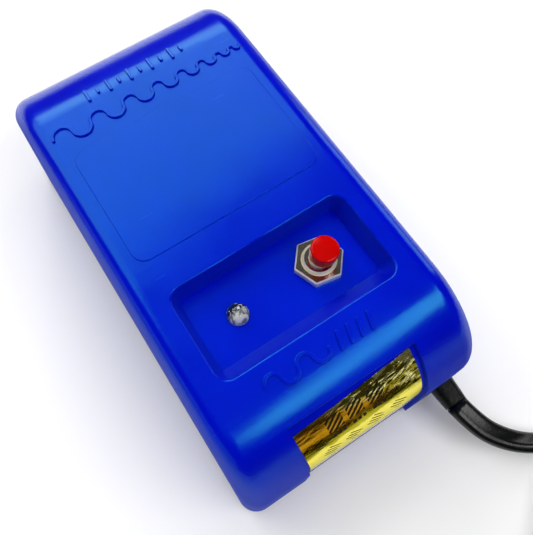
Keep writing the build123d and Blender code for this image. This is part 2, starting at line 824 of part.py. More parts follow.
# ================================================================ where the lead leaves
with BuildPart() as cord_strain_relief:
    with BuildSketch(Plane.XZ.offset(SLEEVE_BACK)):
        with Locations((EXIT_X, EXIT_Z)):
            SlotOverall(7.2, 4.8)
    extrude(amount=HALF_L - 2.8 - SLEEVE_BACK)
    with BuildSketch(Plane.XZ.offset(HALF_L - 2.8)):
        with Locations((EXIT_X, EXIT_Z)):
            SlotOverall(7.2, 4.8)
    with BuildSketch(Plane.XZ.offset(SLEEVE_TIP)):
        with Locations((EXIT_X, EXIT_Z)):
            SlotOverall(6.0, 3.7)
    loft()
    # lips above and below, behind the wall, stop the sleeve from being pulled out
    with BuildSketch(Plane.XZ.offset(HALF_L - 4.6)):
        with Locations((EXIT_X, EXIT_Z)):
            RectangleRounded(5.0, 8.4, 1.2)
    extrude(amount=1.6)
save(cord_strain_relief, "cord_strain_relief")

with BuildPart() as cable_tail:
    with BuildSketch(Plane.XZ.offset(JACKET_END)):
        with Locations((EXIT_X, EXIT_Z)):
            SlotOverall(LEAD_W, LEAD_T)
    extrude(amount=SLEEVE_BACK - JACKET_END)
save(cable_tail, "cable_tail")

# ================================================================ free lead
COIL_FLOOR = COIL_LIFT
COIL_H = 2 * LEAD_W
LAYER_LOW = COIL_FLOOR + LEAD_W / 2
LAYER_HIGH = COIL_FLOOR + 1.5 * LEAD_W


def coil_point(radius, degrees, z):
    """A point on the coil's centre line."""
    return (
        COIL_AT[0] + radius * cos(radians(degrees)),
        COIL_AT[1] + radius * sin(radians(degrees)),
        z,
    )


LEAD_ROUTE = [
    (EXIT_X, -SLEEVE_TIP, EXIT_Z),
    (26.8, -73.6, 8.8),
    (30.8, -80.0, 6.4),
    (37.0, -85.4, 4.3),
    (46.2, -89.8, 3.1),
    (56.0, -93.2, 3.0),
    coil_point(COIL_OUTER, COIL_IN_DEG, LAYER_LOW),
]
out_start = Vector(*coil_point(COIL_OUTER, COIL_OUT_DEG, LAYER_HIGH))
out_way = Vector(-1, 1, 0).normalized()
PLUG_START = Vector(out_start.X, out_start.Y, PLUG_H / 2) + out_way * 21
TAIL_ROUTE = [
    tuple(out_start),
    tuple(out_start + out_way * 7 + Vector(0, 0, -0.5)),
    tuple(out_start + out_way * 14 + Vector(0, 0, -2.2)),
    tuple(PLUG_START),
]


def bend_radii(route):
    """The largest arc that fits each corner: 0.45 of its shorter run."""
    radii = []
    for a, b, c in zip(route, route[1:], route[2:]):
        into = Vector(*b) - Vector(*a)
        out = Vector(*c) - Vector(*b)
        turn = radians(into.get_angle(out))
        radii.append(0.45 * min(into.length, out.length) / tan(turn / 2))
    return radii


def lead_tube(label, route):
    """A plain tube along one uncoiled stretch of the lead."""
    radii = bend_radii(route)
    with BuildPart() as tube:
        with BuildLine() as path:
            FilletPolyline(*route, radius=radii)
        with BuildSketch(Plane(path.line @ 0, z_dir=path.line % 0)):
            Circle(TUBE_R)
        sweep()
    save(tube, label)
    length = sum(edge.length for edge in path.edges())
    print(label, "arc radii", [round(r, 1) for r in radii], "length", round(length, 1))
    print(label, "volume over section x length", round(tube.part.volume / (pi * TUBE_R**2 * length), 4))


lead_tube("power_cord", LEAD_ROUTE)
lead_tube("cord_tail", TAIL_ROUTE)

BUNDLE_IN = COIL_INNER - LEAD_T / 2
BUNDLE_OUT = COIL_OUTER + LEAD_T / 2
with BuildPart() as cord_coil:
    with BuildSketch(Plane.XY.offset(COIL_FLOOR)):
        with Locations(COIL_AT):
            Circle(BUNDLE_OUT)
            Circle(BUNDLE_IN, mode=Mode.SUBTRACT)
    extrude(amount=COIL_H)
    fillet(edges().filter_by(GeomType.CIRCLE), 1.2)
save(cord_coil, "cord_coil")

TIE_T = 0.5
TIE_W = 4.0
TIE_DEG = 150.0
TIE_GAP = 0.06
tie_plane = Plane(
    coil_point((BUNDLE_IN + BUNDLE_OUT) / 2, TIE_DEG, COIL_FLOOR + COIL_H / 2),
    x_dir=(cos(radians(TIE_DEG)), sin(radians(TIE_DEG)), 0),
    z_dir=(-sin(radians(TIE_DEG)), cos(radians(TIE_DEG)), 0),
)
bundle_w = BUNDLE_OUT - BUNDLE_IN + 2 * TIE_GAP
with BuildPart() as cord_tie:
    with BuildSketch(tie_plane):
        RectangleRounded(bundle_w + 2 * TIE_T + 0.3, COIL_H + 2 * TIE_GAP + 2 * TIE_T, 1.2)
        RectangleRounded(bundle_w + 0.3, COIL_H + 2 * TIE_GAP, 0.8, mode=Mode.SUBTRACT)
    extrude(amount=TIE_W / 2, both=True)
save(cord_tie, "cord_tie")

# ================================================================ plug
plug_plane = Plane(PLUG_START, x_dir=(out_way.Y, -out_way.X, 0), z_dir=out_way)
with BuildPart() as plug_body:
    with BuildSketch(plug_plane):
        SlotOverall(7.4, 5.4)
    with BuildSketch(plug_plane.offset(PLUG_NECK)):
        SlotOverall(12.5, 8.2)
    loft()
    with BuildSketch(plug_plane.offset(PLUG_NECK)):
        RectangleRounded(17.0, PLUG_H - 2.5, 3.0)
    with BuildSketch(plug_plane.offset(PLUG_NECK + 6)):
        RectangleRounded(PLUG_W, PLUG_H, 3.4)
    loft()
    with BuildSketch(plug_plane.offset(PLUG_NECK + 6)):
        RectangleRounded(PLUG_W, PLUG_H, 3.4)
    extrude(amount=PLUG_L - 6)
save(plug_body, "plug_body")

blade_l, blade_t, blade_w = BLADE
with BuildPart() as plug_blades:
    with BuildSketch(plug_plane.offset(PLUG_NECK + PLUG_L)):
        with Locations((-BLADE_PITCH / 2, 0), (BLADE_PITCH / 2, 0)):
            Rectangle(blade_t, blade_w)
    extrude(amount=blade_l)
    with BuildSketch(Plane(plug_plane.offset(PLUG_NECK + PLUG_L + blade_l - 4).origin, z_dir=plug_plane.x_dir)):
        Circle(1.5)
    extrude(amount=PLUG_W, both=True, mode=Mode.SUBTRACT)
save(plug_blades, "plug_blades")
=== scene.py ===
import math
import bpy
from mathutils import Matrix, Vector, noise


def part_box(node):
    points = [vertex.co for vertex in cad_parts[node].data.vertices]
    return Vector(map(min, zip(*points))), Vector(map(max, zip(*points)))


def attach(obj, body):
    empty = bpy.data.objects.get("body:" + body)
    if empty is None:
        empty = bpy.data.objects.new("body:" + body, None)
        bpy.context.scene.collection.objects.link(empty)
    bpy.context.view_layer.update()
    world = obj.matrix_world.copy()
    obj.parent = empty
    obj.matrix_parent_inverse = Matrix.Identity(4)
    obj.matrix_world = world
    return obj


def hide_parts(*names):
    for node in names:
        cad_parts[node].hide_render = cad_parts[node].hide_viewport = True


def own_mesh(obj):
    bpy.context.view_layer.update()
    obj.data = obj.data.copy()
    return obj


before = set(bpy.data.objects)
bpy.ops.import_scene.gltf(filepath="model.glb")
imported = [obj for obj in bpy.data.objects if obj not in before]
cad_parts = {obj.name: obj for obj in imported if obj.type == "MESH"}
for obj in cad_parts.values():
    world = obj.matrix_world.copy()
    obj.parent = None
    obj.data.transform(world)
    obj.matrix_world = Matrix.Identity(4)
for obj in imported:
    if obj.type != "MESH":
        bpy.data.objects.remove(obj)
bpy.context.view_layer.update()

MM = 0.001
HOUSING = "housing"

# ---------------------------------------------------------------- camera
SENSOR = 36.0
LENS_SHARE = 1.125  # focal length over sensor width
CAMERA_AT = Vector((-25.4, -62.9, 164.6)) * MM
NEAR_CLIP = 5 * MM

camera_data = bpy.data.cameras.new("camera")
camera_data.sensor_width = SENSOR
camera_data.lens = SENSOR * LENS_SHARE
camera_data.clip_start = NEAR_CLIP
camera = bpy.data.objects.new("camera", camera_data)
bpy.context.scene.collection.objects.link(camera)
cam_right = Vector((0.837, -0.546, -0.019)).normalized()
cam_ahead = Vector((0.188, 0.321, -0.928))
cam_ahead = (cam_ahead - cam_right * cam_ahead.dot(cam_right)).normalized()
cam_up = cam_right.cross(cam_ahead)
camera.matrix_world = Matrix.Translation(CAMERA_AT) @ Matrix(
    (
        (cam_right.x, cam_up.x, -cam_ahead.x),
        (cam_right.y, cam_up.y, -cam_ahead.y),
        (cam_right.z, cam_up.z, -cam_ahead.z),
    )
).to_4x4()
bpy.context.scene.camera = camera
bpy.context.scene.view_settings.view_transform = "Standard"


# ---------------------------------------------------------------- helpers
def link(obj):
    bpy.context.scene.collection.objects.link(obj)
    return obj


def mesh_object(name, points, faces, smooth=True):
    mesh = bpy.data.meshes.new(name)
    mesh.from_pydata([tuple(p) for p in points], [], faces)
    for polygon in mesh.polygons:
        polygon.use_smooth = smooth
    mesh.update()
    return link(bpy.data.objects.new(name, mesh))


def tube(name, rings):
    """A closed tube through rings of points, each ring counter-clockwise seen from ahead."""
    count = len(rings[0])
    faces = []
    for i in range(len(rings) - 1):
        for j in range(count):
            k = (j + 1) % count
            faces.append(
                (i * count + j, i * count + k, (i + 1) * count + k, (i + 1) * count + j)
            )
    faces.append(tuple(reversed(range(count))))
    faces.append(tuple((len(rings) - 1) * count + j for j in range(count)))
    return mesh_object(name, [point for ring in rings for point in ring], faces)


def smoothstep(x):
    x = min(max(x, 0.0), 1.0)
    return x * x * (3 - 2 * x)


class Nodes:
    """A material with one Principled shader and short calls for its procedural nodes."""

    def __init__(self, name):
        self.material = bpy.data.materials.new(name)
        self.material.use_nodes = True
        self.tree = self.material.node_tree
        self.shader = self.tree.nodes["Principled BSDF"]
        self.place = self.new("ShaderNodeTexCoord").outputs["Object"]

    def new(self, kind, **settings):
        node = self.tree.nodes.new(kind)
        for key, value in settings.items():
            setattr(node, key, value)
        return node

    def wire(self, source, target):
        self.tree.links.new(source, target)

    def scaled(self, sx, sy, sz, turn=0.0, source=None):
        node = self.new("ShaderNodeMapping")
        node.inputs["Scale"].default_value = (sx, sy, sz)
        node.inputs["Rotation"].default_value = (0, 0, turn)
        self.wire(source or self.place, node.inputs["Vector"])
        return node.outputs["Vector"]

    def noise(self, scale, detail=3.0, rough=0.55, source=None, distortion=0.0):
        node = self.new("ShaderNodeTexNoise")
        node.inputs["Scale"].default_value = scale
        node.inputs["Detail"].default_value = detail
        node.inputs["Roughness"].default_value = rough
        node.inputs["Distortion"].default_value = distortion
        self.wire(source or self.place, node.inputs["Vector"])
        return node.outputs["Fac"]

    def span(self, source, low, high, to_low, to_high):
        node = self.new("ShaderNodeMapRange")
        for key, value in (
            ("From Min", low), ("From Max", high), ("To Min", to_low), ("To Max", to_high)
        ):
            node.inputs[key].default_value = value
        self.wire(source, node.inputs["Value"])
        return node.outputs["Result"]

    def math(self, operation, a, b=0.0, c=0.0):
        node = self.new("ShaderNodeMath", operation=operation)
        for socket, value in zip(node.inputs, (a, b, c)):
            if isinstance(value, (int, float)):
                socket.default_value = value
            else:
                self.wire(value, socket)
        return node.outputs[0]

    def mix(self, factor, a, b):
        node = self.new("ShaderNodeMix", data_type="RGBA")
        for socket, value in ((node.inputs[0], factor), (node.inputs[6], a), (node.inputs[7], b)):
            if isinstance(value, (int, float)):
                socket.default_value = value
            elif isinstance(value, tuple):
                socket.default_value = (*value, 1.0)
            else:
                self.wire(value, socket)
        return node.outputs[2]

    def bump(self, height, distance, strength=1.0, under=None):
        node = self.new("ShaderNodeBump")
        node.inputs["Strength"].default_value = strength
        node.inputs["Distance"].default_value = distance
        self.wire(height, node.inputs["Height"])
        if under is not None:
            self.wire(under, node.inputs["Normal"])
        return node.outputs["Normal"]

    def upright(self):
        """1 on faces that look straight up, 0 on walls."""
        parts = self.new("ShaderNodeSeparateXYZ")
        self.wire(self.new("ShaderNodeTexCoord").outputs["Normal"], parts.inputs[0])
        return parts.outputs[2]

    def set(self, **values):
        for key, value in values.items():
            self.shader.inputs[key.replace("_", " ")].default_value = value

    def feed(self, **sources):
        for key, source in sources.items():
            self.wire(source, self.shader.inputs[key.replace("_", " ")])


def surface(
    name, colour, rough, metal=0.0, vary=0.12, patch=70, grain=1600, grain_depth=0.00002,
    rough_vary=0.06, stretch=None, **values
):
    """A moulded, plated or coated surface: patchy colour, uneven gloss and a fine grain."""
    n = Nodes(name)
    n.set(Metallic=metal, **values)
    patches = n.noise(patch, 4)
    dark = tuple(c * (1 - vary) for c in colour)
    light = tuple(min(c * (1 + vary), 1.0) for c in colour)
    n.feed(Base_Color=n.mix(n.span(patches, 0.3, 0.7, 0, 1), dark, light))
    at = n.scaled(*stretch) if stretch else None
    fine = n.noise(grain, 4, source=at)
    uneven = n.span(n.math("ADD", patches, fine), 0.6, 1.4, rough - rough_vary, rough + rough_vary)
    n.feed(Roughness=uneven, Normal=n.bump(fine, grain_depth))
    return n.material


def give(node, material):
    """Give a carried-over CAD node its finish."""
    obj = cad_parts[node]
    obj.data.materials.clear()
    obj.data.materials.append(material)


# ---------------------------------------------------------------- flat lead
LEAD_W = 5.8 * MM
LEAD_T = 3.5 * MM
GROOVE_DEEP = 0.42 * MM
GROOVE_WIDE = 0.55 * MM
LOBE_SPREAD = 2.2  # how quickly the section passes from one core to the other
EXIT = (25.4, -66.8, 10.5)
COIL_AT = (51.5, -128.5)
COIL_OUTER = 33.2
COIL_INNER = 25.0
LAYER_LOW = 3.5
LAYER_HIGH = 9.3
COIL_IN_DEG = 65.0
COIL_OUT_DEG = 225.0
COIL_TURN_DEG = 1640.0
COIL_STEP_DEG = 20.0
RAMP_DEG = 70.0
SLACK = 0.16  # how far the turns wander
SLACK_RATE = 0.041
PLUG_CORD_Z = 6.0
TAIL_RUN = 21
TURN_FROM, TURN_LENGTH = 8 * MM, 34 * MM
END_FLAT, END_TURN = 1 * MM, 19 * MM


def coil_points():
    """Turns of two flat spiral layers, wound inward below and outward above."""
    half = COIL_TURN_DEG / 2
    # the spline cuts inside its control points by this share of the radius
    tighten = 0.75 + 0.25 * math.cos(math.radians(COIL_STEP_DEG))
    points = []
    for i in range(int(COIL_TURN_DEG / COIL_STEP_DEG) + 1):
        gone = i * COIL_STEP_DEG
        angle = math.radians(COIL_IN_DEG - gone)
        radius = COIL_OUTER - (COIL_OUTER - COIL_INNER) * (half - abs(gone - half)) / half
        climb = smoothstep((gone - half) / RAMP_DEG + 0.5)
        slack = SLACK * math.sin(gone * SLACK_RATE)
        points.append(
            (
                COIL_AT[0] + radius / tighten * math.cos(angle) + slack,
                COIL_AT[1] + radius / tighten * math.sin(angle),
                LAYER_LOW + (LAYER_HIGH - LAYER_LOW) * climb,
            )
        )
    return points


lead_in = [
    EXIT, (26.8, -73.6, 8.8), (30.8, -80.0, 6.4), (37.0, -85.4, 4.3), (46.2, -89.8, 3.1),
    (56.0, -93.2, 3.0),
]
away = Vector((-1, 1, 0)).normalized()
out_angle = math.radians(COIL_OUT_DEG)
out_start = Vector(
    (
        COIL_AT[0] + COIL_OUTER * math.cos(out_angle),
        COIL_AT[1] + COIL_OUTER * math.sin(out_angle),
        LAYER_HIGH,
    )
)
plug_start = Vector((out_start.x, out_start.y, PLUG_CORD_Z)) + away * TAIL_RUN
lead_out = [
    tuple(out_start + away * 7 + Vector((0, 0, -0.5))),
    tuple(out_start + away * 14 + Vector((0, 0, -2.2))),
    tuple(plug_start),
]
route = lead_in + coil_points() + lead_out


def nurbs_line(name, points_mm, resolution=8):
    """The smooth line through a route, as the points that Blender gives for its spline."""
    data = bpy.data.curves.new(name, "CURVE")
    data.dimensions = "3D"
    data.resolution_u = resolution
    spline = data.splines.new("NURBS")
    spline.points.add(len(points_mm) - 1)
    for point, at in zip(spline.points, points_mm):
        point.co = (at[0] * MM, at[1] * MM, at[2] * MM, 1.0)
    spline.order_u = 3
    spline.use_endpoint_u = True
    holder = link(bpy.data.objects.new(name, data))
    bpy.context.view_layer.update()
    mesh = bpy.data.meshes.new_from_object(holder)
    line = [v.co.copy() for v in mesh.vertices]
    bpy.data.meshes.remove(mesh)
    bpy.data.objects.remove(holder)
    return line


def lead_section(count=28):
    """The flat lead's section: two round cores side by side with a shallow groove between."""
    lobe = LEAD_T / 2
    shift = LEAD_W / 2 - lobe
    section = []
    for i in range(count):
        a = 2 * math.pi * i / count
        apart = math.copysign(min(1, abs(math.cos(a)) * LOBE_SPREAD), math.cos(a))
        x = shift * apart + lobe * math.cos(a)
        groove = GROOVE_DEEP * math.exp(-((x / GROOVE_WIDE) ** 2))
        y = math.copysign(max(abs(lobe * math.sin(a)) - groove, 0.0), math.sin(a))
        section.append((x, y))
    return section


def flat_tube(name, line, stand):
    """A flat lead along a line; stand gives 0 where it lies flat and 1 on its edge."""
    section = lead_section()
    rings = []
    gone = 0.0
    total = sum((b - a).length for a, b in zip(line, line[1:]))
    for i, at in enumerate(line):
        if i:
            gone += (at - line[i - 1]).length
        ahead = (line[min(i + 1, len(line) - 1)] - line[max(i - 1, 0)]).normalized()
        side = ahead.cross(Vector((0, 0, 1))).normalized()
        over = side.cross(ahead).normalized()
        turn = stand(gone, total) * math.pi / 2
        wide = side * math.cos(turn) + over * math.sin(turn)
        thin = ahead.cross(wide).normalized()
        rings.append([at + wide * x + thin * y for x, y in section])
    return tube(name, rings)


def lead_stand(gone, total):
    """The lead leaves the case flat, turns onto its edge for the coil and ends flat."""
    on_edge = smoothstep((gone - TURN_FROM) / TURN_LENGTH)
    flat_again = smoothstep((total - gone - END_FLAT) / END_TURN)
    return min(on_edge, flat_again)


line = nurbs_line("lead_line", route)
lead = flat_tube("flat_lead", line, lead_stand)
lead_length = sum((b - a).length for a, b in zip(line, line[1:]))
print("lead length", round(lead_length, 4))
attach(lead, HOUSING)
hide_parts("power_cord", "cord_coil", "cord_tail")

# ---------------------------------------------------------------- return spring
SPRING_TURNS = 5
SPRING_STEPS = 24
SPRING_SIDES = 12
SPRING_WIRE = 0.2 * MM


def wire_spring(name, low, high):
    """An upright wire spring that fills the box from low to high."""
    radius = (high[0] - low[0]) / 2 - SPRING_WIRE
    climb = high[2] - low[2] - 2 * SPRING_WIRE
    slope = climb / (SPRING_TURNS * 2 * math.pi * radius)
    centre = Vector(((low[0] + high[0]) / 2, (low[1] + high[1]) / 2, low[2] + SPRING_WIRE))
    steps = SPRING_TURNS * SPRING_STEPS
    rings = []
    for i in range(steps + 1):
        turn = 2 * math.pi * i / SPRING_STEPS
        out = Vector((math.cos(turn), math.sin(turn), 0))
        over = Vector((-math.sin(turn), math.cos(turn), slope)).normalized().cross(out)
        at = centre + out * radius + Vector((0, 0, climb * i / steps))
        rings.append(
            [
                at + (out * math.cos(a) + over * math.sin(a)) * SPRING_WIRE
                for a in (2 * math.pi * j / SPRING_SIDES for j in range(SPRING_SIDES))
            ]
        )
    return tube(name, rings)


spring_low, spring_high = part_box("switch_spring")
spring = wire_spring("return_spring", spring_low, spring_high)
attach(spring, HOUSING)
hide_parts("switch_spring")
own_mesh(spring)

# ---------------------------------------------------------------- case plastic
def case_material():
    """Blue moulded plastic, slightly uneven, rubbed in places, with duller walls."""
    n = Nodes("blue_plastic")
    n.set(IOR=1.5, Specular_Tint=(0.09, 1.0, 1.0, 1.0))
    cloud = n.noise(38, 3, 0.5)
    mottle = n.noise(190, 5, 0.6)
    tone = n.math("ADD", n.span(cloud, 0.3, 0.7, 0, 0.65), n.span(mottle, 0.35, 0.65, 0, 0.35))
    n.feed(Base_Color=n.mix(tone, (0.0, 0.0, 0.45), (0.0, 0.001, 0.55)))
    # light rubs from handling, long and thin
    rub = n.noise(1.0, 6, 0.7, source=n.scaled(55, 900, 300, 0.5))
    rubbed = n.span(rub, 0.60, 0.74, 0, 1)
    gloss = n.math("ADD", n.span(cloud, 0.3, 0.7, 0.16, 0.24), n.math("MULTIPLY", rubbed, 0.10))
    # walls are finely textured, the top is smoother
    n.feed(Roughness=n.math("ADD", gloss, n.span(n.upright(), 0.2, 0.8, 0.52, 0.0)))
    sink = n.bump(n.noise(26, 2, 0.4), 0.0011, 0.55)
    peel = n.bump(n.noise(620, 3, 0.6), 0.000035, 0.6, under=sink)
    n.feed(Normal=n.bump(rub, 0.00002, 0.5, under=peel))
    return n.material


case_plastic = case_material()
give("top_shell", case_plastic)

# ---------------------------------------------------------------- foil label
LABEL_W = 30.4
LABEL_LOW, LABEL_HIGH = 15.0, 40.25
LABEL_MID = (LABEL_LOW + LABEL_HIGH) / 2
LABEL_INSET = 1.0
LABEL_TILT = math.radians(2.4)
LABEL_CELLS = (150, 130)
CASE_FRONT = -61.2
CASE_RIM_Z = 1.5
CASE_WALL_H = 44.0
FRONT_DRAFT = 0.2
CRUMPLE = 0.36
ARC_R = 20.8 - LABEL_INSET
ARC_Y = -40.29
ARC_Z = 24.7
ARC_END = math.radians(90.26)
ARC_FOOT = ARC_Z + ARC_R * math.cos(ARC_END)


def front_y(z):
    """Where the bay's floor is at height z."""
    if z > ARC_FOOT:
        return ARC_Y - math.sqrt(max(ARC_R**2 - (z - ARC_Z) ** 2, 0.0))
    return CASE_FRONT + LABEL_INSET + FRONT_DRAFT * (z - CASE_RIM_Z) / CASE_WALL_H


def height_at(s):
    """Height of the point this far down the foil from its upper edge."""
    start = math.acos((LABEL_HIGH - ARC_Z) / ARC_R)
    angle = start + s / ARC_R
    if angle < ARC_END:
        return ARC_Z + ARC_R * math.cos(angle)
    return ARC_FOOT - (s - ARC_R * (ARC_END - start))


LABEL_RUN = ARC_R * (ARC_END - math.acos((LABEL_HIGH - ARC_Z) / ARC_R)) + ARC_FOOT - LABEL_LOW


def crumple_share(a, s):
    """1 where the foil is crumpled, towards its upper edge and its right side, 0 where smooth."""
    return 1 - smoothstep((s + 1.6 - 0.36 * max(a + 9.0, 0.0)) / 2.4)


def make_label():
    """The foil as a fine mesh that follows the bay's floor and lifts in crumples."""
    across, down = LABEL_CELLS
    points, uvs, faces = [], [], []
    for j in range(down + 1):
        s = LABEL_RUN * j / down
        b = height_at(s) - LABEL_MID
        for i in range(across + 1):
            a = LABEL_W * (i / across - 0.5)
            x = a * math.cos(LABEL_TILT) - b * math.sin(LABEL_TILT)
            z = LABEL_MID + a * math.sin(LABEL_TILT) + b * math.cos(LABEL_TILT)
            fold = noise.noise(Vector((a * 0.30, s * 0.75 + a * 0.16, 3.1)))
            lift = CRUMPLE * crumple_share(a, s) * abs(fold)
            points.append(Vector((x, front_y(z) - lift, z)) * MM)
            uvs.append((a, s))
    for j in range(down):
        for i in range(across):
            k = j * (across + 1) + i
            faces.append((k, k + across + 1, k + across + 2, k + 1))
    obj = mesh_object("foil_sticker", points, faces)
    layer = obj.data.uv_layers.new(name="UVMap")
    for loop in obj.data.loops:
        layer.data[loop.index].uv = uvs[loop.vertex_index]
    return obj


sticker = make_label()
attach(sticker, HOUSING)
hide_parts("foil_label")


def label_material():
    """Gold foil with bands of painted reflection, a crumpled corner with painted reflection
    streaks and plain printed marks.
    """
    n = Nodes("gold_foil")
    uv = n.new("ShaderNodeTexCoord").outputs["UV"]
    parts = n.new("ShaderNodeSeparateXYZ")
    n.wire(uv, parts.inputs[0])
    u, s = parts.outputs[0], parts.outputs[1]

    def within(value, low, high):
        return n.math(
            "MULTIPLY", n.math("GREATER_THAN", value, low), n.math("LESS_THAN", value, high)
        )

    def both(a, b):
        return n.math("MULTIPLY", a, b)

    def either(*items):
        total = items[0]
        for item in items[1:]:
            total = n.math("MAXIMUM", total, item)
        return total

    def repeat(value, pitch):
        return n.math("WRAP", value, pitch, 0.0)

    def moved(value, amount):
        return n.math("SUBTRACT", value, amount)

    def hatch(angle_share, pitch, duty):
        slant = n.math("ADD", s, n.math("MULTIPLY", u, angle_share))
        return n.math("LESS_THAN", repeat(slant, pitch), pitch * duty)

    columns = (-6.3, -1.1, 4.1)
    # upper row: three hatched squares
    squares = either(*[within(u, mid - 2.0, mid + 2.0) for mid in columns])
    row_one = both(both(squares, within(s, 1.5, 5.9)), hatch(0.8, 1.45, 0.60))
    # bold dashes
    groups = either(*[within(u, mid - 1.9, mid + 1.9) for mid in columns])
    row_two = both(both(groups, within(s, 6.9, 8.0)), n.math("LESS_THAN", repeat(u, 1.3), 0.85))
    # four hatched lozenges
    reach = [
        n.math("ADD", n.math("ABSOLUTE", moved(u, mid)), n.math("ABSOLUTE", moved(s, 12.4)))
        for mid in (-9.1, -3.4, 2.6, 8.6)
    ]
    lozenges = either(*[n.math("LESS_THAN", r, 2.5) for r in reach])
    row_three = both(lozenges, hatch(-0.7, 1.2, 0.36))
    # fine ticks
    row_four = both(
        both(within(u, -10.5, 10.5), within(s, 17.2, 18.4)),
        both(n.math("LESS_THAN", repeat(u, 0.8), 0.3), n.math("LESS_THAN", repeat(u, 5.2), 3.4)),
    )
    ink = either(row_one, row_two, row_three, row_four)
    smear = n.span(n.noise(1.6, 4, 0.7, source=uv), 0.34, 0.46, 0.88, 1.0)
    inked = both(ink, smear)

    # broad bands of painted reflection with wavy borders: brown towards the upper edge, darkest in
    # a band across the middle, bright gold below
    wave = n.noise(0.22, 3, 0.5, source=uv)
    along = n.math("ADD", s, n.span(wave, 0.3, 0.7, -0.9, 0.9))
    painted_reflection_bands = n.new("ShaderNodeValToRGB")
    n.wire(n.math("DIVIDE", along, 20.0), painted_reflection_bands.inputs[0])
    first, last = painted_reflection_bands.color_ramp.elements
    first.position, first.color = 0.0, (0.42, 0.20, 0.012, 1)
    last.position, last.color = 1.0, (1.0, 0.94, 0.24, 1)
    for at, colour in (
        (0.20, (0.50, 0.25, 0.008)), (0.345, (0.27, 0.125, 0.004)), (0.365, (0.33, 0.28, 0.012)),
        (0.465, (0.50, 0.45, 0.045)), (0.485, (1.0, 0.92, 0.20)),
    ):
        painted_reflection_bands.color_ramp.elements.new(at).color = (*colour, 1)
    # crumpled corner: painted reflection streaks, pale and dark, and dark flecks
    edge = n.math("MULTIPLY", n.math("MAXIMUM", n.math("ADD", u, 9.0), 0.0), 0.36)
    share = n.span(n.math("SUBTRACT", n.math("ADD", s, 1.6), edge), 0.0, 2.4, 1.0, 0.0)
    streak = n.noise(1.0, 3, 0.5, source=n.scaled(0.24, 0.85, 1.0, -0.16, uv), distortion=0.8)
    fleck = n.noise(1.5, 4, 0.7, source=uv)
    painted_streak_reflection = n.mix(n.span(streak, 0.47, 0.52, 0, 1), (0.34, 0.29, 0.02), (1.0, 0.93, 0.36))
    painted_streaks_and_flecks = n.mix(n.span(fleck, 0.34, 0.39, 1, 0), painted_streak_reflection, (0.05, 0.04, 0.008))
    tone = n.mix(share, painted_reflection_bands.outputs[0], painted_streaks_and_flecks)
    n.feed(Base_Color=n.mix(inked, tone, (0.003, 0.0028, 0.002)))
    n.feed(Metallic=n.span(inked, 0, 1, 1.0, 0.0))
    n.set(IOR=1.3, Specular_Tint=(1.0, 0.93, 0.42, 1.0))
    n.feed(Roughness=n.math("ADD", n.span(streak, 0.3, 0.7, 0.10, 0.20), both(inked, 0.5)))
    ripple = n.noise(0.30, 3, 0.5, source=n.scaled(0.6, 1.6, 1.0, 0.1, uv))
    heights = n.math("ADD", both(ripple, 0.5), both(streak, both(share, 0.35)))
    n.feed(Normal=n.bump(heights, 0.0005, 0.6))
    return n.material


sticker.data.materials.append(label_material())

# ---------------------------------------------------------------- metal and lamp
def nickel_material():
    """Nickel with polished flats and duller chamfers and threads."""
    n = Nodes("nickel_plate")
    patches = n.noise(260, 4)
    stain = n.noise(900, 5, 0.7)
    tone = n.math("ADD", n.span(patches, 0.3, 0.7, 0, 0.5), n.span(stain, 0.4, 0.6, 0, 0.5))
    n.feed(Base_Color=n.mix(tone, (0.80, 0.72, 0.52), (1.0, 0.97, 0.86)))
    flat = n.span(n.upright(), 0.955, 0.99, 0, 1)
    dull = n.span(stain, 0.3, 0.7, 0, 0.08)
    n.feed(Roughness=n.math("ADD", n.span(flat, 0, 1, 0.34, 0.10), dull))
    n.feed(Metallic=n.span(flat, 0, 1, 0.55, 1.0))
    n.feed(Normal=n.bump(n.noise(3800, 3), 0.000012))
    return n.material


nickel = nickel_material()
for name in ("switch_bushing", "switch_nut", "switch_lock_washer"):
    give(name, nickel)
zinc = surface(
    "zinc_plate", (0.60, 0.61, 0.62), 0.34, metal=1.0, vary=0.12, patch=160, grain=3600,
    grain_depth=0.00002, rough_vary=0.09,
)
for name in ("base_screws", "core_bracket", "core_screws"):
    give(name, zinc)
give(
    "led_leadframe",
    surface(
        "silver_plate", (0.96, 0.95, 0.92), 0.42, metal=1.0, vary=0.04, patch=500, grain=6000,
        grain_depth=0.00001,
    ),
)


def lens_material():
    """Clear epoxy with painted reflections of the lead frame: a bright mottled front half and a
    dark rear half with painted white glints.
    """
    n = Nodes("clear_epoxy")
    n.set(IOR=1.53, Roughness=0.03, Transmission_Weight=0.42)
    low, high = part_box("led_lens")
    middle = (low[1] + high[1]) / 2
    parts = n.new("ShaderNodeSeparateXYZ")
    n.wire(n.place, parts.inputs[0])
    # painted reflection: pale towards the front, dark towards the rear, split along a swirled line
    swirl = n.noise(430, 3, 0.55, distortion=1.4)
    back = n.math("ADD", parts.outputs[1], n.span(swirl, 0.3, 0.7, -0.0006, 0.0008))
    shade = n.span(back, middle - 0.0003, middle + 0.0004, 0, 1)
    # painted white glints on the dark half, and a painted bright cup mottled by the swirl
    painted_glint = n.span(n.noise(1500, 2, 0.5), 0.60, 0.66, 0, 1)
    painted_bright_half = n.mix(n.span(swirl, 0.42, 0.56, 0, 1), (0.22, 0.24, 0.24), (0.95, 0.97, 0.92))
    painted_dark_half = n.mix(painted_glint, (0.01, 0.02, 0.05), (1.0, 1.0, 1.0))
    n.feed(Base_Color=n.mix(shade, painted_bright_half, painted_dark_half))
    n.feed(Normal=n.bump(swirl, 0.00002, 0.4))
    return n.material


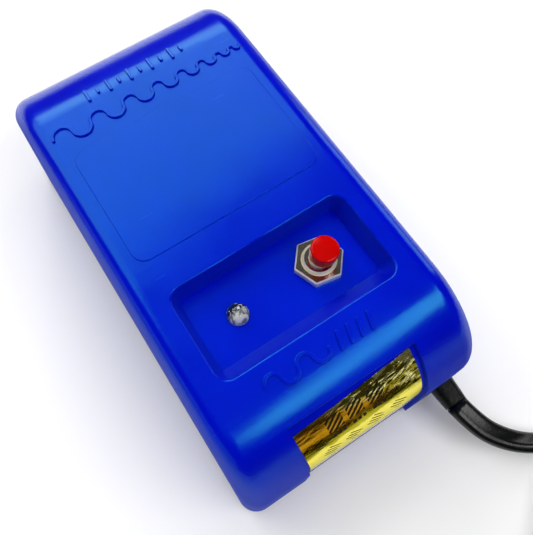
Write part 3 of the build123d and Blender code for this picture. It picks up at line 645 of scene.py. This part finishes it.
give("led_lens", lens_material())
give(
    "button_cap",
    surface(
        "red_plastic", (0.50, 0.0, 0.0), 0.15, vary=0.06, patch=220, grain=2400,
        grain_depth=0.00002, rough_vary=0.04, IOR=1.5, Specular_Tint=(1.0, 0.4, 0.35, 1.0),
    ),
)
give(
    "switch_plunger",
    surface("nylon_stem", (0.78, 0.76, 0.70), 0.42, vary=0.05, patch=300, grain=2600),
)
give("switch_body", surface("phenolic", (0.018, 0.018, 0.020), 0.40, vary=0.25, patch=260))
contact = surface(
    "silvered_brass", (0.83, 0.74, 0.50), 0.26, metal=1.0, vary=0.10, patch=260, grain=3600
)
give("switch_contact_bridge", contact)
give("switch_terminals", contact)
spring.data.materials.append(
    surface("spring_wire", (0.58, 0.58, 0.58), 0.28, metal=1.0, vary=0.12, patch=700, grain=4000)
)

# ---------------------------------------------------------------- underside and inside
give(
    "base_cover",
    surface(
        "dark_base_plastic", (0.016, 0.018, 0.024), 0.52, vary=0.22, patch=90, grain=2200,
        grain_depth=0.00007, rough_vary=0.08,
    ),
)
give(
    "rubber_feet",
    surface("foot_rubber", (0.022, 0.021, 0.020), 0.78, vary=0.25, patch=220, grain=1500,
            grain_depth=0.00006),
)
give(
    "core_laminations",
    surface(
        "core_steel", (0.30, 0.31, 0.33), 0.45, metal=0.9, vary=0.25, patch=90, grain=900,
        grain_depth=0.00003, rough_vary=0.12, stretch=(1, 1, 6),
    ),
)
give("coil_bobbin", surface("bobbin_nylon", (0.80, 0.76, 0.64), 0.50, vary=0.06))


def winding_material():
    n = Nodes("enamelled_copper")
    n.set(Metallic=0.75)
    rings = n.new("ShaderNodeTexWave", bands_direction="Z")
    rings.inputs["Scale"].default_value = 900
    rings.inputs["Distortion"].default_value = 0.6
    n.wire(n.place, rings.inputs["Vector"])
    n.feed(Base_Color=n.mix(n.noise(120, 4), (0.42, 0.13, 0.03), (0.66, 0.26, 0.09)))
    n.feed(Roughness=n.span(rings.outputs["Fac"], 0, 1, 0.22, 0.4))
    n.feed(Normal=n.bump(rings.outputs["Fac"], 0.00012))
    return n.material


give("coil_winding", winding_material())
give(
    "winding_tape",
    surface("polyester_tape", (0.74, 0.52, 0.08), 0.24, vary=0.10, patch=120, grain=300,
            grain_depth=0.00008),
)
give("wire_connectors", surface("joint_nylon", (0.78, 0.75, 0.68), 0.42, vary=0.06))
give("led_resistor", surface("resistor_lacquer", (0.62, 0.42, 0.22), 0.34, vary=0.16, patch=500))
give("led_diode", surface("diode_epoxy", (0.020, 0.020, 0.021), 0.30, vary=0.25, patch=500))
brown = surface("brown_insulation", (0.14, 0.045, 0.016), 0.36, vary=0.15, patch=260)
give("live_wire", brown)
give("switched_wire", brown)
give("neutral_wire", surface("blue_insulation", (0.03, 0.12, 0.42), 0.36, vary=0.15, patch=260))
give("coil_lead_wires", surface("grey_insulation", (0.32, 0.32, 0.32), 0.38, vary=0.15, patch=260))
give("led_wires", surface("yellow_insulation", (0.68, 0.48, 0.04), 0.36, vary=0.12, patch=260))

# ---------------------------------------------------------------- lead, sleeve and plug
lead_pvc = surface(
    "black_pvc", (0.0022, 0.003, 0.0026), 0.25, vary=0.35, patch=140, grain=1400,
    grain_depth=0.00003, rough_vary=0.07, IOR=1.42,
)
lead.data.materials.append(lead_pvc)
for name in ("cable_tail", "plug_body"):
    give(name, lead_pvc)
give(
    "cord_strain_relief",
    surface(
        "sleeve_pvc", (0.0025, 0.003, 0.0028), 0.30, vary=0.3, patch=260, grain=1100,
        grain_depth=0.00006, rough_vary=0.10, IOR=1.42,
    ),
)
give("cord_tie", surface("tie_strip", (0.022, 0.022, 0.022), 0.46, vary=0.25, patch=300))
give(
    "plug_blades",
    surface(
        "blade_brass", (0.80, 0.62, 0.34), 0.24, metal=1.0, vary=0.14, patch=200, grain=900,
        grain_depth=0.00003, rough_vary=0.09, stretch=(1, 1, 5),
    ),
)

# ---------------------------------------------------------------- table and light
TABLE_HALF = 2.0
corners = [(x * TABLE_HALF, y * TABLE_HALF, 0) for x, y in ((-1, -1), (1, -1), (1, 1), (-1, 1))]
floor = mesh_object("table", corners, [(0, 1, 2, 3)])
n = Nodes("table_white")
n.feed(Base_Color=n.mix(n.noise(9, 3), (0.91, 0.91, 0.91), (0.94, 0.94, 0.94)))
n.set(Roughness=0.75)
floor.data.materials.append(n.material)

world = bpy.data.worlds.new("studio")
bpy.context.scene.world = world
world.use_nodes = True
sky = world.node_tree
background = sky.nodes["Background"]
coords = sky.nodes.new("ShaderNodeTexCoord")
split = sky.nodes.new("ShaderNodeSeparateXYZ")
ramp = sky.nodes.new("ShaderNodeValToRGB")
sky.links.new(coords.outputs["Generated"], split.inputs[0])
sky.links.new(split.outputs[2], ramp.inputs[0])
sky.links.new(ramp.outputs[0], background.inputs["Color"])
horizon, zenith = ramp.color_ramp.elements
horizon.color = (0.10, 0.09, 0.08, 1)
zenith.color = (0.05, 0.05, 0.05, 1)
for at, level in ((0.10, 0.05), (0.30, 0.07), (0.90, 0.05)):
    ramp.color_ramp.elements.new(at).color = (level, level, level, 1)
background.inputs["Strength"].default_value = 1.0


def softbox(name, at, width, height, power, aim=(0, 0, 0.03)):
    """A rectangular area light; sizes and places in metres, power in watts."""
    data = bpy.data.lights.new(name, "AREA")
    data.shape = "RECTANGLE"
    data.size, data.size_y = width, height
    data.energy = power
    obj = link(bpy.data.objects.new(name, data))
    obj.location = at
    obj.rotation_mode = "QUATERNION"
    obj.rotation_quaternion = (Vector(aim) - Vector(at)).to_track_quat("-Z", "Y")
    return obj


softbox("rear_glow", (-0.073, 0.52, 0.604), 0.93, 0.49, 3.2)
softbox("rear_band", (0.106, 0.60, 0.514), 0.45, 0.16, 0.75)
softbox("front_light", (0.24, -0.435, 0.627), 0.56, 0.20, 2.0)
softbox("left_strip", (-0.766, -0.067, 0.22), 1.3, 0.22, 0.5)
softbox("right_strip", (0.735, 0.20, 0.26), 0.40, 0.30, 0.8)
# brightens the table and the flat top without showing in the gloss
fill = softbox("overhead_fill", (0, 0, 1.25), 1.7, 1.7, 11.5, aim=(0, 0, 0))
fill.visible_glossy = False
